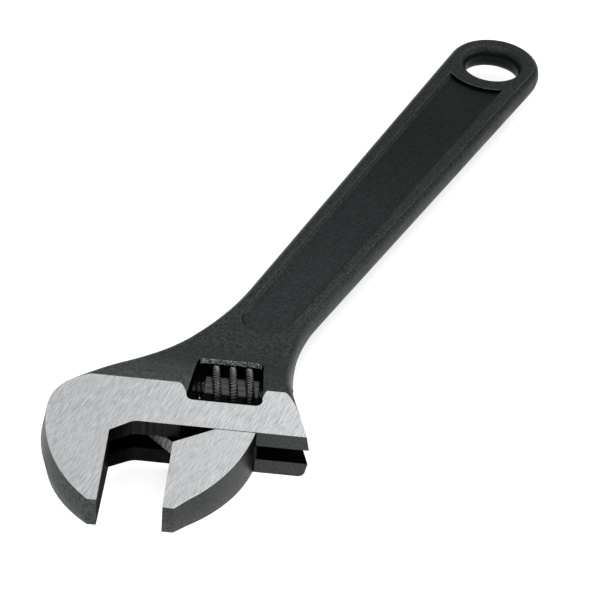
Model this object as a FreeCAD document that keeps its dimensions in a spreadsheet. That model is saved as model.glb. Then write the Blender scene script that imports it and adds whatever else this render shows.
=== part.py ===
import FreeCAD, Part
import math
import os

import Sketcher

# Adjustable wrench, 10 inch, in five pieces: frame, sliding jaw, worm, pin and spring (millimetres).
#
# The origin is where the gripping face of the fixed jaw meets the slide, half way through the
# thickness. +X is the way the sliding jaw opens, +Y points to the handle, and +Z is up through the
# flat head.

V = FreeCAD.Vector

# alias, value in mm (or degrees, where the note says so), note
SIZES = [
    ("overall_length", 254.0, "jaw tips to handle end, along the handle"),
    ("handle_angle", 24.0, "degrees between the handle and the gripping faces"),
    ("handle_offset", 14.1, "where the handle's axis crosses the slide"),
    ("handle_thickness", 8.0, "over the flanges"),
    ("handle_end_radius", 15.0, "half width of the handle at its round end"),
    ("neck_half_width", 11.23, "half width where the straight sides begin"),
    ("neck_length", 65.0, "slide to that place, along the handle"),
    ("hole_radius", 8.5, "hanging hole, at the land between its rims"),
    ("hole_rim_round", 3.2, "rounding of its rims"),
    ("hole_setback", 1.2, "hole centre before the centre of the round end"),
    ("recess_depth", 1.0, "panel sunk in each face of the handle"),
    ("recess_near_half", 7.0, "half width of the panel at the neck"),
    ("recess_far_half", 9.25, "half width of the panel at the ring"),
    ("recess_ring", 15.5, "radius of the raised ring round the hole"),
    ("recess_start", 54.2, "slide to the centre of the panel's round near end, along the handle"),
    ("recess_draft", 40.0, "degrees of draft on the panel's wall"),
    ("forging_draft", 10.0, "degrees of draft on the forged sides"),
    ("edge_round", 2.8, "rounding of the handle's edges"),
    ("head_thickness", 14.0, "at the slide"),
    ("face_slope", 5.43, "degrees that each ground face falls to the tips"),
    ("ground_edge", 14.8, "slide to the end of the ground faces"),
    ("neck_end", 39.0, "slide to where the neck is as thin as the handle"),
    ("neck_start_slope", 5.7, "degrees that the neck falls just behind the ground faces"),
    ("neck_steepness", 1.87, "steepest slope of the neck over its mean slope (ratio)"),
    ("jaw_depth", 27.3, "slide to the tips"),
    ("fixed_tip_width", 3.6, "flat end of the fixed jaw"),
    ("heel_radius", 15.5, "outer corner behind the slide"),
    ("heel_back", 18.2, "outermost point of that corner behind the gripping face"),
    ("heel_height", 2.8, "centre of that corner above the slide"),
    ("throat_depth", 3.9, "bevel of the throat, along the gripping face"),
    ("throat_width", 5.8, "and along the slide"),
    ("throat_radius", 4.6, "blend of the bevel into the slide"),
    ("neck_left_radius", 87.5, "hollow of the neck on the side of the fixed jaw"),
    ("slide_length", 51.7, "gripping face to the open end of the slide"),
    ("head_end_lean", 4.1, "how far the head's end leans in"),
    ("head_end_height", 14.0, "slide to the corner where that end meets the neck"),
    ("head_corner_radius", 3.0, "rounding of that corner"),
    ("slot_height", 4.75, "slot between the two lips"),
    ("web_clearance", 0.2, "web to lip on each side"),
    ("slide_gap", 0.15, "sliding jaw to the front of the lips"),
    ("rail_axis_y", 12.1, "slide to the axis of the round rail"),
    ("rail_radius", 5.25, "rail"),
    ("rail_clearance", 0.1, "rail to its bore"),
    ("rail_lead", 8.0, "rail ahead of the face of the sliding jaw"),
    ("rail_length", 37.5, "rail"),
    ("bore_end_gap", 0.45, "rail to the end of its bore with the jaws shut"),
    ("shut_gap", 0.05, "between the jaws when they are shut"),
    ("jaw_opening", 16.5, "between the jaws in this pose"),
    ("sliding_jaw_depth", 27.5, "slide to the tip of the sliding jaw"),
    ("sliding_jaw_width", 20.7, "along the slide"),
    ("sliding_tip_width", 2.9, "flat end of the sliding jaw"),
    ("sliding_tip_bevel", 3.2, "bevel of its outer corner, each way"),
    ("sliding_jaw_radius", 44.0, "its outer curve"),
    ("relief_depth", 5.9, "bevel of its inner corner, along its face"),
    ("relief_width", 10.7, "and along the slide"),
    ("web_nose", 2.2, "slanted end of the web ahead of the face, at the slide"),
    ("web_slant", 42.0, "degrees between that end and the slide"),
    ("web_length", 21.4, "face of the jaw to the square end of the web"),
    ("worm_radius", 7.0, "worm over its thread"),
    ("thread_depth", 2.87, "depth of the thread"),
    ("thread_pitch", 4.4, "travel of the jaw for one turn"),
    ("crest_width", 1.75, "width of the thread at its top"),
    ("flank_angle", 5.5, "degrees of each flank"),
    ("thread_phase", 3.88, "left end of the worm to a crest on the side of the rail"),
    ("worm_left", 22.3, "left end of the worm"),
    ("worm_length", 14.15, "worm"),
    ("worm_bevel", 1.6, "bevel of both ends of the worm"),
    ("mesh_clearance", 0.25, "top of the rack to the root of the thread"),
    ("rack_root_gap", 2.0, "top of the thread to the root of the rack"),
    ("backlash", 0.17, "clearance at each flank of the rack"),
    ("rack_slant", 6.6, "degrees that the gaps of the rack lean to suit the thread"),
    ("window_front", 9.1, "slide to the window"),
    ("window_left", 18.0, "left side of the window at its front"),
    ("window_left_lean", 1.6, "how far the left side leans in at the back"),
    ("window_right", 38.1, "right side of the window at its front"),
    ("window_right_lean", 1.0, "how far the right side leans in at the back"),
    ("window_corner", 1.8, "corner radius of the window"),
    ("left_roll_reach", 3.0, "how far the punch draws the forging in beside the window's left edge"),
    ("left_roll_drop", 0.75, "and how deep"),
    ("right_roll_reach", 1.4, "the same beside its right edge"),
    ("right_roll_drop", 0.5, "and how deep"),
    ("window_clearance", 0.4, "worm to the back of the window"),
    ("pin_radius", 1.75, "plain part of the worm pin"),
    ("pin_running_gap", 0.05, "worm on its pin"),
    ("pin_fit_gap", 0.02, "pin in the frame"),
    ("pin_start", 12.5, "blind end of the pin"),
    ("pin_head_radius", 2.6, "thick end of the pin"),
    ("pin_head_start", 39.6, "where the thick end begins"),
    ("pin_head_end", 45.6, "outer end of the pin"),
    ("pin_slot_width", 1.0, "screwdriver slot"),
    ("pin_slot_depth", 1.2, "screwdriver slot"),
    ("spring_radius", 2.8, "outside of the spring"),
    ("spring_wire", 0.6, "wire diameter"),
    ("spring_turns", 5.0, "turns of the wire"),
    ("spring_seat_depth", 3.7, "pocket for the spring in the worm"),
    ("spring_side_gap", 0.3, "spring to the side of that pocket"),
    ("spring_end_gap", 0.12, "spring to what it bears on"),
]
FAR = 400.0  # reaches past every piece
TOUCH = 0.001  # points nearer than this are one point
SHEET = "Dimensions"

doc = FreeCAD.newDocument("adjustable_wrench")
sheet = doc.addObject("Spreadsheet::Sheet", SHEET)
for row, (alias, value, note) in enumerate(SIZES, start=1):
    sheet.set("A%d" % row, alias)
    sheet.set("B%d" % row, str(value))
    sheet.set("C%d" % row, note)
    sheet.setAlias("B%d" % row, alias)
doc.recompute()


def size(alias):
    """A driving dimension, read from the sheet."""
    return float(sheet.get(alias))


def cell(formula):
    """A formula over aliases, written for the expression engine."""
    words = formula.split()
    return " ".join(SHEET + "." + word if word[0].isalpha() else word for word in words)


# ------------------------------------------------------------------ plane geometry

def unit(angle):
    """Unit vector at an angle in degrees from +X."""
    return V(math.cos(math.radians(angle)), math.sin(math.radians(angle)), 0)


def arc(centre, start, end):
    """The shorter arc from start to end about a centre, as (middle, end)."""
    outward = (start - centre) + (end - centre)
    return centre + outward.normalize() * (start - centre).Length, end


def arc_of_radius(start, end, radius, side):
    """An arc of a radius that bows to a side of the chord (+1 is its left), as (middle, end)."""
    chord = end - start
    rise = radius - math.sqrt(radius ** 2 - (chord.Length / 2) ** 2)
    normal = V(-chord.y, chord.x, 0).normalize()
    return (start + end) * 0.5 + normal * (rise * side), end


def rounded(before, corner, after, radius):
    """Start of a fillet at a corner, then its (middle, end)."""
    back = (before - corner).normalize()
    ahead = (after - corner).normalize()
    half_turn = back.getAngle(ahead) / 2
    start = corner + back * (radius / math.tan(half_turn))
    end = corner + ahead * (radius / math.tan(half_turn))
    centre = corner + (back + ahead).normalize() * (radius / math.sin(half_turn))
    return start, arc(centre, start, end)


def way_out_of_circle(point, way, centre, radius):
    """Where a line from a point leaves a circle."""
    across = centre - point
    along = across.dot(way)
    return point + way * (along + math.sqrt(radius ** 2 - across.Length ** 2 + along ** 2))


def crossing_tangent(centre_a, radius_a, centre_b, radius_b):
    """Ends of the straight line that touches two circles from opposite sides."""
    between = centre_b - centre_a
    swing = math.acos((radius_a + radius_b) / between.Length)
    normal = unit(math.degrees(math.atan2(between.y, between.x) + swing))
    return centre_a + normal * radius_a, centre_b - normal * radius_b


def mirrored(path):
    """The same path with its second coordinate turned round."""
    def flip(point):
        return V(point.x, -point.y, point.z)
    return [tuple(map(flip, step)) if isinstance(step, tuple) else flip(step) for step in path]


# ------------------------------------------------------------------ derived places

HANDLE_WAY = unit(90 - size("handle_angle"))
HANDLE_SIDE = V(HANDLE_WAY.y, -HANDLE_WAY.x, 0)
HANDLE_FOOT = V(size("handle_offset"), 0, 0)
TIP_REACH = (HANDLE_FOOT + V(0, size("jaw_depth"), 0)).dot(HANDLE_WAY)
END_AT = size("overall_length") - TIP_REACH - size("handle_end_radius")
HOLE_AT = END_AT - size("hole_setback")
HALF_HANDLE = size("handle_thickness") / 2
WORM_AXIS_Y = (size("rail_axis_y") + size("rail_radius") + size("mesh_clearance")
               + size("worm_radius") - size("thread_depth"))
RACK_ROOT_Y = WORM_AXIS_Y - size("worm_radius") - size("rack_root_gap")
WINDOW_BACK = WORM_AXIS_Y + size("worm_radius") + size("window_clearance")


def on_handle(along, across):
    """Point of the plan at a distance along the handle's axis and to its right."""
    return HANDLE_FOOT + HANDLE_WAY * along + HANDLE_SIDE * across


def ground_height(y):
    """Height of the upper ground face above the middle plane."""
    return size("head_thickness") / 2 + y * math.tan(math.radians(size("face_slope")))


def window_side(hand, y):
    """The window's left or right side at a distance behind the slide."""
    share = (y - size("window_front")) / (WINDOW_BACK - size("window_front"))
    if hand == "left":
        return size("window_left") + size("window_left_lean") * share
    return size("window_right") - size("window_right_lean") * share


# ------------------------------------------------------------------ document helpers

def new_body(name):
    """A PartDesign body whose label names its file."""
    body = doc.addObject("PartDesign::Body", name)
    body.Label = name
    doc.recompute()
    return body


def new_sketch(body, name, role, level=None):
    """A sketch on one of the body's own origin planes, raised by a level (number or formula)."""
    sketch = body.newObject("Sketcher::SketchObject", name)
    plane = [item for item in body.Origin.OriginFeatures if item.Role == role][0]
    sketch.AttachmentSupport = [(plane, "")]
    sketch.MapMode = "FlatFace"
    if isinstance(level, str):
        sketch.setExpression("AttachmentOffset.Base.z", cell(level))
    elif level is not None:
        sketch.AttachmentOffset = FreeCAD.Placement(V(0, 0, level), FreeCAD.Rotation())
    return sketch


def draw(sketch, path):
    """A closed outline: its corners, with a (middle, end) pair for each arc."""
    here = path[0]
    for step in path[1:] + [path[0]]:
        if isinstance(step, tuple):
            sketch.addGeometry(Part.Arc(here, step[0], step[1]))
            here = step[1]
        elif not step.isEqual(here, 1e-6):
            sketch.addGeometry(Part.LineSegment(here, step))
            here = step


def draw_circle(sketch, centre, radius_formula):
    """A circle whose radius is bound to the sheet."""
    number = sketch.addGeometry(Part.Circle(centre, V(0, 0, 1), 1))
    for way, place in (("DistanceX", centre.x), ("DistanceY", centre.y)):
        sketch.addConstraint(Sketcher.Constraint(way, -1, 1, number, 3, place))
    constraint = sketch.addConstraint(Sketcher.Constraint("Radius", number, 1.0))
    sketch.setExpression("Constraints[%d]" % constraint, cell(radius_formula))


def checked(body, feature, grows):
    """Recomputes and makes sure that a new feature added or removed material."""
    before = body.Shape.Volume if body.Shape.Solids else 0.0
    doc.recompute()
    change = body.Shape.Volume - before
    if abs(change) < 1e-3 or (change > 0) != grows:
        raise RuntimeError("%s changed the volume by %.4f" % (feature.Name, change))
    return feature


def extrude(body, kind, name, sketch, length, both=False, reverse=False, taper=None, along=None):
    """A pad or pocket of a length (number or formula), square to its sketch or along a slanted way."""
    feature = body.newObject("PartDesign::" + kind, name)
    feature.Profile = sketch
    feature.SideType = "Symmetric" if both else "One side"
    feature.Reversed = reverse
    if isinstance(length, str):
        feature.setExpression("Length", cell(length))
    else:
        feature.Length = length
    if taper:
        feature.setExpression("TaperAngle", cell(taper))
    if along:
        feature.UseCustomVector = True
        feature.Direction = along
        feature.AlongSketchNormal = True
    return checked(body, feature, kind == "Pad")


def turn(body, kind, name, sketch):
    """A revolution or groove right round the sketch's horizontal axis."""
    feature = body.newObject("PartDesign::" + kind, name)
    feature.Profile = sketch
    feature.ReferenceAxis = (sketch, ["H_Axis"])
    feature.Angle = 360
    return checked(body, feature, kind == "Revolution")


def coil(body, kind, name, sketch, pitch, height):
    """A right-handed helix of a profile about the sketch's horizontal axis."""
    feature = body.newObject("PartDesign::" + kind, name)
    feature.Profile = sketch
    feature.ReferenceAxis = (sketch, ["H_Axis"])
    feature.Mode = 0
    feature.LeftHanded = False
    feature.Pitch = pitch
    feature.Height = height
    return checked(body, feature, kind == "AdditiveHelix")


def cut_beyond(body, name, upper):
    """Pocket through the whole width of what lies outside a side profile and its mirror image."""
    sketch = new_sketch(body, name + "_outline", "YZ_Plane")
    path = upper + [V(upper[-1].x, FAR, 0), V(upper[0].x, FAR, 0)]
    draw(sketch, path)
    draw(sketch, mirrored(path))
    extrude(body, "Pocket", name, sketch, 2 * FAR, both=True)


def ground_faces():
    """The ground faces seen from the side, from past the tips to the edge behind the slide."""
    front = -2 * size("jaw_depth")
    return [V(front, ground_height(front), 0), V(size("ground_edge"), ground_height(size("ground_edge")), 0)]


# ------------------------------------------------------------------ frame

def forged_outline():
    """Widest outline of the head, neck and handle, carried past the faces that are machined later."""
    heel_centre = V(size("heel_radius") - size("heel_back"), size("heel_height"), 0)
    tip_corner = V(-size("fixed_tip_width"), -size("jaw_depth"), 0)
    outermost = V(-size("heel_back"), size("heel_height"), 0)
    bulge = tip_corner - outermost
    jaw_centre = outermost + V(bulge.Length ** 2 / (2 * bulge.x), 0, 0)
    outward = (tip_corner - jaw_centre).normalize()
    past_tip = tip_corner + V(-outward.y, outward.x, 0) * (size("fixed_tip_width") * 2)

    straight = END_AT - size("neck_length")
    lean = (math.asin(size("handle_end_radius") / math.hypot(straight, size("neck_half_width")))
            - math.atan2(size("neck_half_width"), straight))
    end_centre = on_handle(END_AT, 0)
    left_normal = HANDLE_SIDE * -math.cos(lean) - HANDLE_WAY * math.sin(lean)
    right_normal = HANDLE_SIDE * math.cos(lean) - HANDLE_WAY * math.sin(lean)
    left_end = end_centre + left_normal * size("handle_end_radius")
    right_end = end_centre + right_normal * size("handle_end_radius")
    left_start = on_handle(size("neck_length"), -size("neck_half_width"))
    right_start = on_handle(size("neck_length"), size("neck_half_width"))

    neck_centre = left_start + left_normal * size("neck_left_radius")
    heel_end, neck_begin = crossing_tangent(heel_centre, size("heel_radius"),
                                            neck_centre, size("neck_left_radius"))
    head_corner = V(size("slide_length") - size("head_end_lean"), size("head_end_height"), 0)
    gap = right_start - head_corner
    right_radius = gap.Length ** 2 / (-2 * right_normal.dot(gap))
    right_centre = right_start + right_normal * right_radius
    end_way = (V(size("slide_length"), 0, 0) - head_corner).normalize()
    past_slide = head_corner + end_way * (2 * size("head_end_height"))
    inward = V(end_way.y, -end_way.x, 0) * size("head_corner_radius")
    round_centre = way_out_of_circle(head_corner + inward, end_way, right_centre,
                                     right_radius + size("head_corner_radius"))
    round_start = right_centre + (round_centre - right_centre).normalize() * right_radius
    round_end = round_centre - inward
    return [past_tip, tip_corner,
            arc(jaw_centre, tip_corner, outermost),
            arc(heel_centre, outermost, heel_end),
            neck_begin, arc(neck_centre, neck_begin, left_start),
            left_end, (end_centre + HANDLE_WAY * size("handle_end_radius"), right_end),
            right_start, arc(right_centre, right_start, round_start),
            arc(round_centre, round_start, round_end),
            past_slide, V(past_slide.x, past_tip.y, 0)]


def mouth_outline():
    """What is milled away in front of the slide and beside the gripping face."""
    grip_end = V(0, -size("throat_depth"), 0)
    corner = V(size("throat_width"), 0, 0)
    blend_start, blend = rounded(grip_end, corner, V(FAR, 0, 0), size("throat_radius"))
    tip = V(0, -size("jaw_depth"), 0)
    return [grip_end, blend_start, blend, V(FAR, 0, 0), V(FAR, -FAR, 0), V(-FAR, -FAR, 0),
            V(-FAR, tip.y, 0), tip]


def forging_height():
    """Height that the forging reaches above the middle plane, a little past the tips of the jaws."""
    run = size("ground_edge") + size("jaw_depth") + 3 * size("fixed_tip_width")
    return ground_height(size("ground_edge")) + run * math.tan(math.radians(size("neck_start_slope")))


def forging_profile():
    """Top of the head, neck and handle seen from the side, before the faces are ground."""
    start = V(size("ground_edge"), ground_height(size("ground_edge")), 0)
    end = V(size("neck_end"), HALF_HANDLE, 0)
    run, drop = end.x - start.x, start.y - end.y
    first = math.radians(size("neck_start_slope"))
    steepest = math.atan(size("neck_steepness") * drop / run)
    crest_run = math.sin(steepest) - math.sin(first)
    crest_drop = math.cos(first) - math.cos(steepest)
    hollow_run = math.sin(steepest)
    hollow_drop = 1 - math.cos(steepest)
    crest_radius = ((run * hollow_drop - drop * hollow_run)
                    / (crest_run * hollow_drop - crest_drop * hollow_run))
    hollow_radius = (run - crest_radius * crest_run) / hollow_run
    crest_centre = start - unit(90 - size("neck_start_slope")) * crest_radius
    hollow_centre = end + V(0, hollow_radius, 0)
    bend = crest_centre + unit(90 - math.degrees(steepest)) * crest_radius
    past_tips = start - unit(-size("neck_start_slope")) * (3 * size("jaw_depth"))
    return [past_tips, start, arc(crest_centre, start, bend), arc(hollow_centre, bend, end),
            V(FAR, HALF_HANDLE, 0)]


def slot_outline():
    """Slot for the web, slanted like the web at its closed end."""
    slope = math.tan(math.radians(size("web_slant")))
    foot = size("shut_gap") - size("web_nose") - size("bore_end_gap")
    closed = size("shut_gap") - size("rail_lead") - size("bore_end_gap")
    return [V(0, -2 * size("throat_depth"), 0), V(0, foot * slope, 0), V(closed, (foot - closed) * slope, 0),
            V(closed, size("rail_axis_y"), 0), V(FAR, size("rail_axis_y"), 0),
            V(FAR, -2 * size("throat_depth"), 0)]


def window_outline():
    """Opening in which the worm turns."""
    front, back = size("window_front"), WINDOW_BACK
    corners = [V(window_side("left", front), front, 0), V(window_side("right", front), front, 0),
               V(window_side("right", back), back, 0), V(window_side("left", back), back, 0)]
    path = []
    for number, corner in enumerate(corners):
        before, after = corners[number - 1], corners[(number + 1) % 4]
        path.extend(rounded(before, corner, after, size("window_corner")))
    return path


def roll_outline(hand, side):
    """Section of what the punch draws in beside the window's edge, on the upper or lower face."""
    wall = window_side(hand, size("ground_edge"))
    surface = side * ground_height(size("ground_edge"))
    reach, drop = size(hand + "_roll_reach"), size(hand + "_roll_drop")
    outward = reach if hand == "right" else -reach
    radius = (reach ** 2 + drop ** 2) / (2 * drop)
    start = V(wall + outward, surface, 0)
    end = V(wall, surface - side * drop, 0)
    above = surface + side * drop
    return [start, arc(start - V(0, side * radius, 0), start, end),
            V(wall - outward, end.y, 0), V(wall - outward, above, 0), V(start.x, above, 0)]


def build_rolls(body):
    """Soft edges that the punched window has left and right, before the faces are ground."""
    front, back = size("window_front"), WINDOW_BACK
    fall = math.tan(math.radians(size("neck_start_slope")))
    for hand in ("left", "right"):
        lean = (window_side(hand, back) - window_side(hand, front)) / (back - front)
        for side, face in ((1, "upper"), (-1, "lower")):
            name = face + "_" + hand + "_roll"
            roll = new_sketch(body, name + "_outline", "XZ_Plane", "-1 * ground_edge")
            draw(roll, roll_outline(hand, side))
            extrude(body, "Pocket", name, roll, "2 * ground_edge", both=True, along=V(lean, 1, -side * fall))


def recess_outline():
    """Sunk panel of the handle: round towards the neck, hollowed round the hanging hole."""
    near = size("recess_start")
    far = HOLE_AT - math.sqrt(size("recess_ring") ** 2 - size("recess_far_half") ** 2)
    lower_left, lower_right = (on_handle(near, side * size("recess_near_half")) for side in (-1, 1))
    upper_left, upper_right = (on_handle(far, side * size("recess_far_half")) for side in (-1, 1))
    return [lower_left, upper_left, arc(on_handle(HOLE_AT, 0), upper_left, upper_right), lower_right,
            (on_handle(near - size("recess_near_half"), 0), lower_left)]


def outer_edges(shape, belongs):
    """Names of the edges on the top and bottom of a shape whose middle point passes a test."""
    names = []
    for number, edge in enumerate(shape.Edges, start=1):
        on_top = min(abs(vertex.Point.z) for vertex in edge.Vertexes) > HALF_HANDLE - TOUCH
        middle = (edge.FirstParameter + edge.LastParameter) / 2
        if on_top and belongs(edge.valueAt(middle), edge.tangentAt(middle)):
            names.append("Edge%d" % number)
    return names


def on_rim(_, way):
    """Edges between the forged sides and the top or bottom: all but the bends of the side profile."""
    return abs(way.x) < 1 - TOUCH


def on_hanging_hole(point, _):
    """Edges of the hanging hole."""
    return (V(point.x, point.y, 0) - on_handle(HOLE_AT, 0)).Length < size("hole_radius") + TOUCH


def round_edges(body, name, belongs, radius):
    """Fillet of a radius (formula) on the edges that pass a test."""
    edges = (body.Tip, outer_edges(body.Shape, belongs))
    rounding = body.newObject("PartDesign::Fillet", name)
    rounding.Base = edges
    rounding.setExpression("Radius", cell(radius))
    return checked(body, rounding, False)


def build_frame():
    """Forged head and handle in one piece, with its slide, bore, window and holes."""
    body = new_body("handle_frame")
    blank = new_sketch(body, "forging_outline", "XY_Plane")
    draw(blank, forged_outline())
    extrude(body, "Pad", "forging", blank, 2 * forging_height(), both=True, taper="-1 * forging_draft")
    cut_beyond(body, "side_profile", forging_profile())
    round_edges(body, "rim_rounding", on_rim, "edge_round")
    window = new_sketch(body, "window_outline", "XY_Plane")
    draw(window, window_outline())
    extrude(body, "Pocket", "window", window, FAR, both=True)
    build_rolls(body)
    cut_beyond(body, "ground_faces", ground_faces())

    mouth = new_sketch(body, "mouth_outline", "XY_Plane")
    draw(mouth, mouth_outline())
    extrude(body, "Pocket", "mouth", mouth, FAR, both=True)
    slot = new_sketch(body, "slot_outline", "XY_Plane")
    draw(slot, slot_outline())
    extrude(body, "Pocket", "slot", slot, "slot_height", both=True)
    bore = new_sketch(body, "bore_outline", "YZ_Plane", "shut_gap - rail_lead - bore_end_gap")
    draw_circle(bore, V(size("rail_axis_y"), 0, 0), "rail_radius + rail_clearance")
    extrude(body, "Pocket", "bore", bore, FAR, reverse=True)

    pin_hole = new_sketch(body, "pin_hole_outline", "YZ_Plane", "pin_start")
    draw_circle(pin_hole, V(WORM_AXIS_Y, 0, 0), "pin_radius + pin_fit_gap")
    extrude(body, "Pocket", "pin_hole", pin_hole, FAR, reverse=True)
    head_hole = new_sketch(body, "pin_head_hole_outline", "YZ_Plane", "pin_head_start")
    draw_circle(head_hole, V(WORM_AXIS_Y, 0, 0), "pin_head_radius + pin_fit_gap")
    extrude(body, "Pocket", "pin_head_hole", head_hole, FAR, reverse=True)

    hole = new_sketch(body, "hanging_hole_outline", "XY_Plane")
    draw_circle(hole, on_handle(HOLE_AT, 0), "hole_radius")
    extrude(body, "Pocket", "hanging_hole", hole, FAR, both=True)
    round_edges(body, "hole_rounding", on_hanging_hole, "hole_rim_round")
    for side, face in ((1, "upper"), (-1, "lower")):
        level = "handle_thickness * %.1f" % (side * 0.5)
        panel = new_sketch(body, face + "_panel_outline", "XY_Plane", level)
        draw(panel, recess_outline())
        extrude(body, "Pocket", face + "_panel", panel, "recess_depth", reverse=side < 0,
                taper="-1 * recess_draft")
    return body


# ------------------------------------------------------------------ sliding jaw

def sliding_outline():
    """Sliding jaw seen from above, its gripping face on x = 0."""
    depth, width = size("sliding_jaw_depth"), size("sliding_jaw_width")
    tip = V(0, -depth, 0)
    bevel_start = V(size("sliding_tip_width"), -depth, 0)
    bevel_end = bevel_start + V(size("sliding_tip_bevel"), size("sliding_tip_bevel"), 0)
    shoulder = V(width, -size("slide_gap"), 0)
    slope = size("relief_depth") / size("relief_width")
    relief_end = V(size("relief_width") - size("slide_gap") / slope, -size("slide_gap"), 0)
    relief_start = V(0, -size("relief_depth"), 0)
    return [tip, bevel_start, bevel_end, arc_of_radius(bevel_end, shoulder, size("sliding_jaw_radius"), -1),
            relief_end, relief_start]


def web_outline():
    """Tongue that joins the jaw to its rail through the slot."""
    slope = math.tan(math.radians(size("web_slant")))
    front, lead = size("slide_gap"), size("rail_lead")
    return [V(front, -size("relief_depth"), 0), V(front, -(size("web_nose") + front) * slope, 0),
            V(-lead, (lead - size("web_nose")) * slope, 0), V(-lead, size("rail_axis_y"), 0),
            V(size("web_length"), size("rail_axis_y"), 0),
            V(size("web_length"), -size("slide_gap"), 0),
            V(size("sliding_jaw_width") - size("web_clearance"), -size("slide_gap"), 0),
            V(size("sliding_jaw_width") / 2, -size("relief_depth"), 0)]


def rack_gap_outline(centre_x):
    """One gap between the teeth of the rack, at the height of its middle."""
    lean = math.tan(math.radians(size("flank_angle")))
    top = size("rail_axis_y") + size("rail_radius") + size("mesh_clearance")
    root_half = size("crest_width") / 2 + size("backlash")
    top_half = root_half + (top - RACK_ROOT_Y) * lean
    return [V(centre_x - root_half, RACK_ROOT_Y, 0), V(centre_x + root_half, RACK_ROOT_Y, 0),
            V(centre_x + top_half, top, 0), V(centre_x - top_half, top, 0)]


def build_sliding_jaw():
    """Jaw, web, round rail and rack in one piece."""
    body = new_body("sliding_jaw")
    jaw = new_sketch(body, "jaw_outline", "XY_Plane")
    draw(jaw, sliding_outline())
    extrude(body, "Pad", "jaw", jaw, "head_thickness * 1.5", both=True)
    cut_beyond(body, "jaw_ground_faces", ground_faces())
    web = new_sketch(body, "web_outline", "XY_Plane")
    draw(web, web_outline())
    extrude(body, "Pad", "web", web, "slot_height - 2 * web_clearance", both=True)
    rail = new_sketch(body, "rail_outline", "YZ_Plane", "-1 * rail_lead")
    draw_circle(rail, V(size("rail_axis_y"), 0, 0), "rail_radius")
    extrude(body, "Pad", "rail", rail, "rail_length")

    crest_at = size("worm_left") + size("thread_phase") - size("jaw_opening")
    pitch = size("thread_pitch")
    first = crest_at - pitch * math.floor((crest_at + size("rail_lead") + pitch / 2) / pitch)
    count = math.floor((size("rail_length") - size("rail_lead") - first) / pitch) + 1
    lean = math.tan(math.radians(size("rack_slant")))
    gap = new_sketch(body, "rack_gap_outline", "XY_Plane")
    draw(gap, rack_gap_outline(first))
    cut = extrude(body, "Pocket", "rack_gap", gap, "rail_radius * 3", both=True, along=V(-lean, 0, 1))
    rack = body.newObject("PartDesign::LinearPattern", "rack")
    rack.Originals = [cut]
    rack.Direction = (gap, ["H_Axis"])
    rack.Length = pitch * (count - 1)
    rack.Occurrences = count
    body.Tip = rack
    checked(body, rack, False)
    body.setExpression("Placement.Base.x", cell("jaw_opening"))
    return body


# ------------------------------------------------------------------ worm, pin and spring

def build_worm():
    """Worm along its own X axis from its left end, with its bore and the pocket for the spring."""
    body = new_body("adjusting_worm")
    radius, length, bevel = size("worm_radius"), size("worm_length"), size("worm_bevel")
    root, pitch = radius - size("thread_depth"), size("thread_pitch")
    blank = new_sketch(body, "worm_outline", "XY_Plane")
    draw(blank, [V(0, 0, 0), V(0, radius - bevel, 0), V(bevel, radius, 0), V(length - bevel, radius, 0),
                 V(length, radius - bevel, 0), V(length, 0, 0)])
    turn(body, "Revolution", "worm_blank", blank)

    past = radius + size("thread_depth") / 4
    slope = math.tan(math.radians(size("flank_angle")))
    half_past = (pitch - size("crest_width")) / 2 + (past - radius) * slope
    half_root = (pitch - size("crest_width")) / 2 - (radius - root) * slope
    start = size("thread_phase") - pitch * math.ceil(size("thread_phase") / pitch + 1)
    groove = new_sketch(body, "groove_profile", "XY_Plane")
    draw(groove, [V(start - half_root, root, 0), V(start - half_past, past, 0),
                  V(start + half_past, past, 0), V(start + half_root, root, 0)])
    coil(body, "SubtractiveHelix", "thread", groove, size("thread_pitch"), length + 4 * pitch)

    bore = new_sketch(body, "worm_bore_outline", "YZ_Plane")
    draw_circle(bore, V(0, 0, 0), "pin_radius + pin_running_gap")
    extrude(body, "Pocket", "worm_bore", bore, FAR, reverse=True)
    seat = new_sketch(body, "spring_seat_outline", "YZ_Plane")
    draw_circle(seat, V(0, 0, 0), "spring_radius + spring_side_gap")
    extrude(body, "Pocket", "spring_seat", seat, "spring_seat_depth", reverse=True)
    place_on_worm_axis(body, "worm_left")
    return body


def place_on_worm_axis(body, start):
    """Moves a body from its own X axis to the worm's axis."""
    body.setExpression("Placement.Base.x", cell(start))
    body.setExpression("Placement.Base.y", cell(
        "rail_axis_y + rail_radius + mesh_clearance + worm_radius - thread_depth"))


def build_pin():
    """Pin that the worm turns on, with a slotted thick end."""
    body = new_body("worm_pin")
    shank = new_sketch(body, "shank_outline", "YZ_Plane")
    draw_circle(shank, V(0, 0, 0), "pin_radius")
    extrude(body, "Pad", "shank", shank, "pin_head_end - pin_start")
    head = new_sketch(body, "pin_head_outline", "YZ_Plane", "pin_head_start - pin_start")
    draw_circle(head, V(0, 0, 0), "pin_head_radius")
    extrude(body, "Pad", "pin_head", head, "pin_head_end - pin_head_start")
    slot = new_sketch(body, "pin_slot_outline", "XY_Plane")
    end = size("pin_head_end") - size("pin_start")
    half, wide = size("pin_slot_width") / 2, 2 * size("pin_head_radius")
    draw(slot, [V(end - size("pin_slot_depth"), -half, 0), V(end + wide, -half, 0),
                V(end + wide, half, 0), V(end - size("pin_slot_depth"), half, 0)])
    extrude(body, "Pocket", "pin_slot", slot, "pin_head_radius * 3", both=True)
    place_on_worm_axis(body, "pin_start")
    return body


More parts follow.
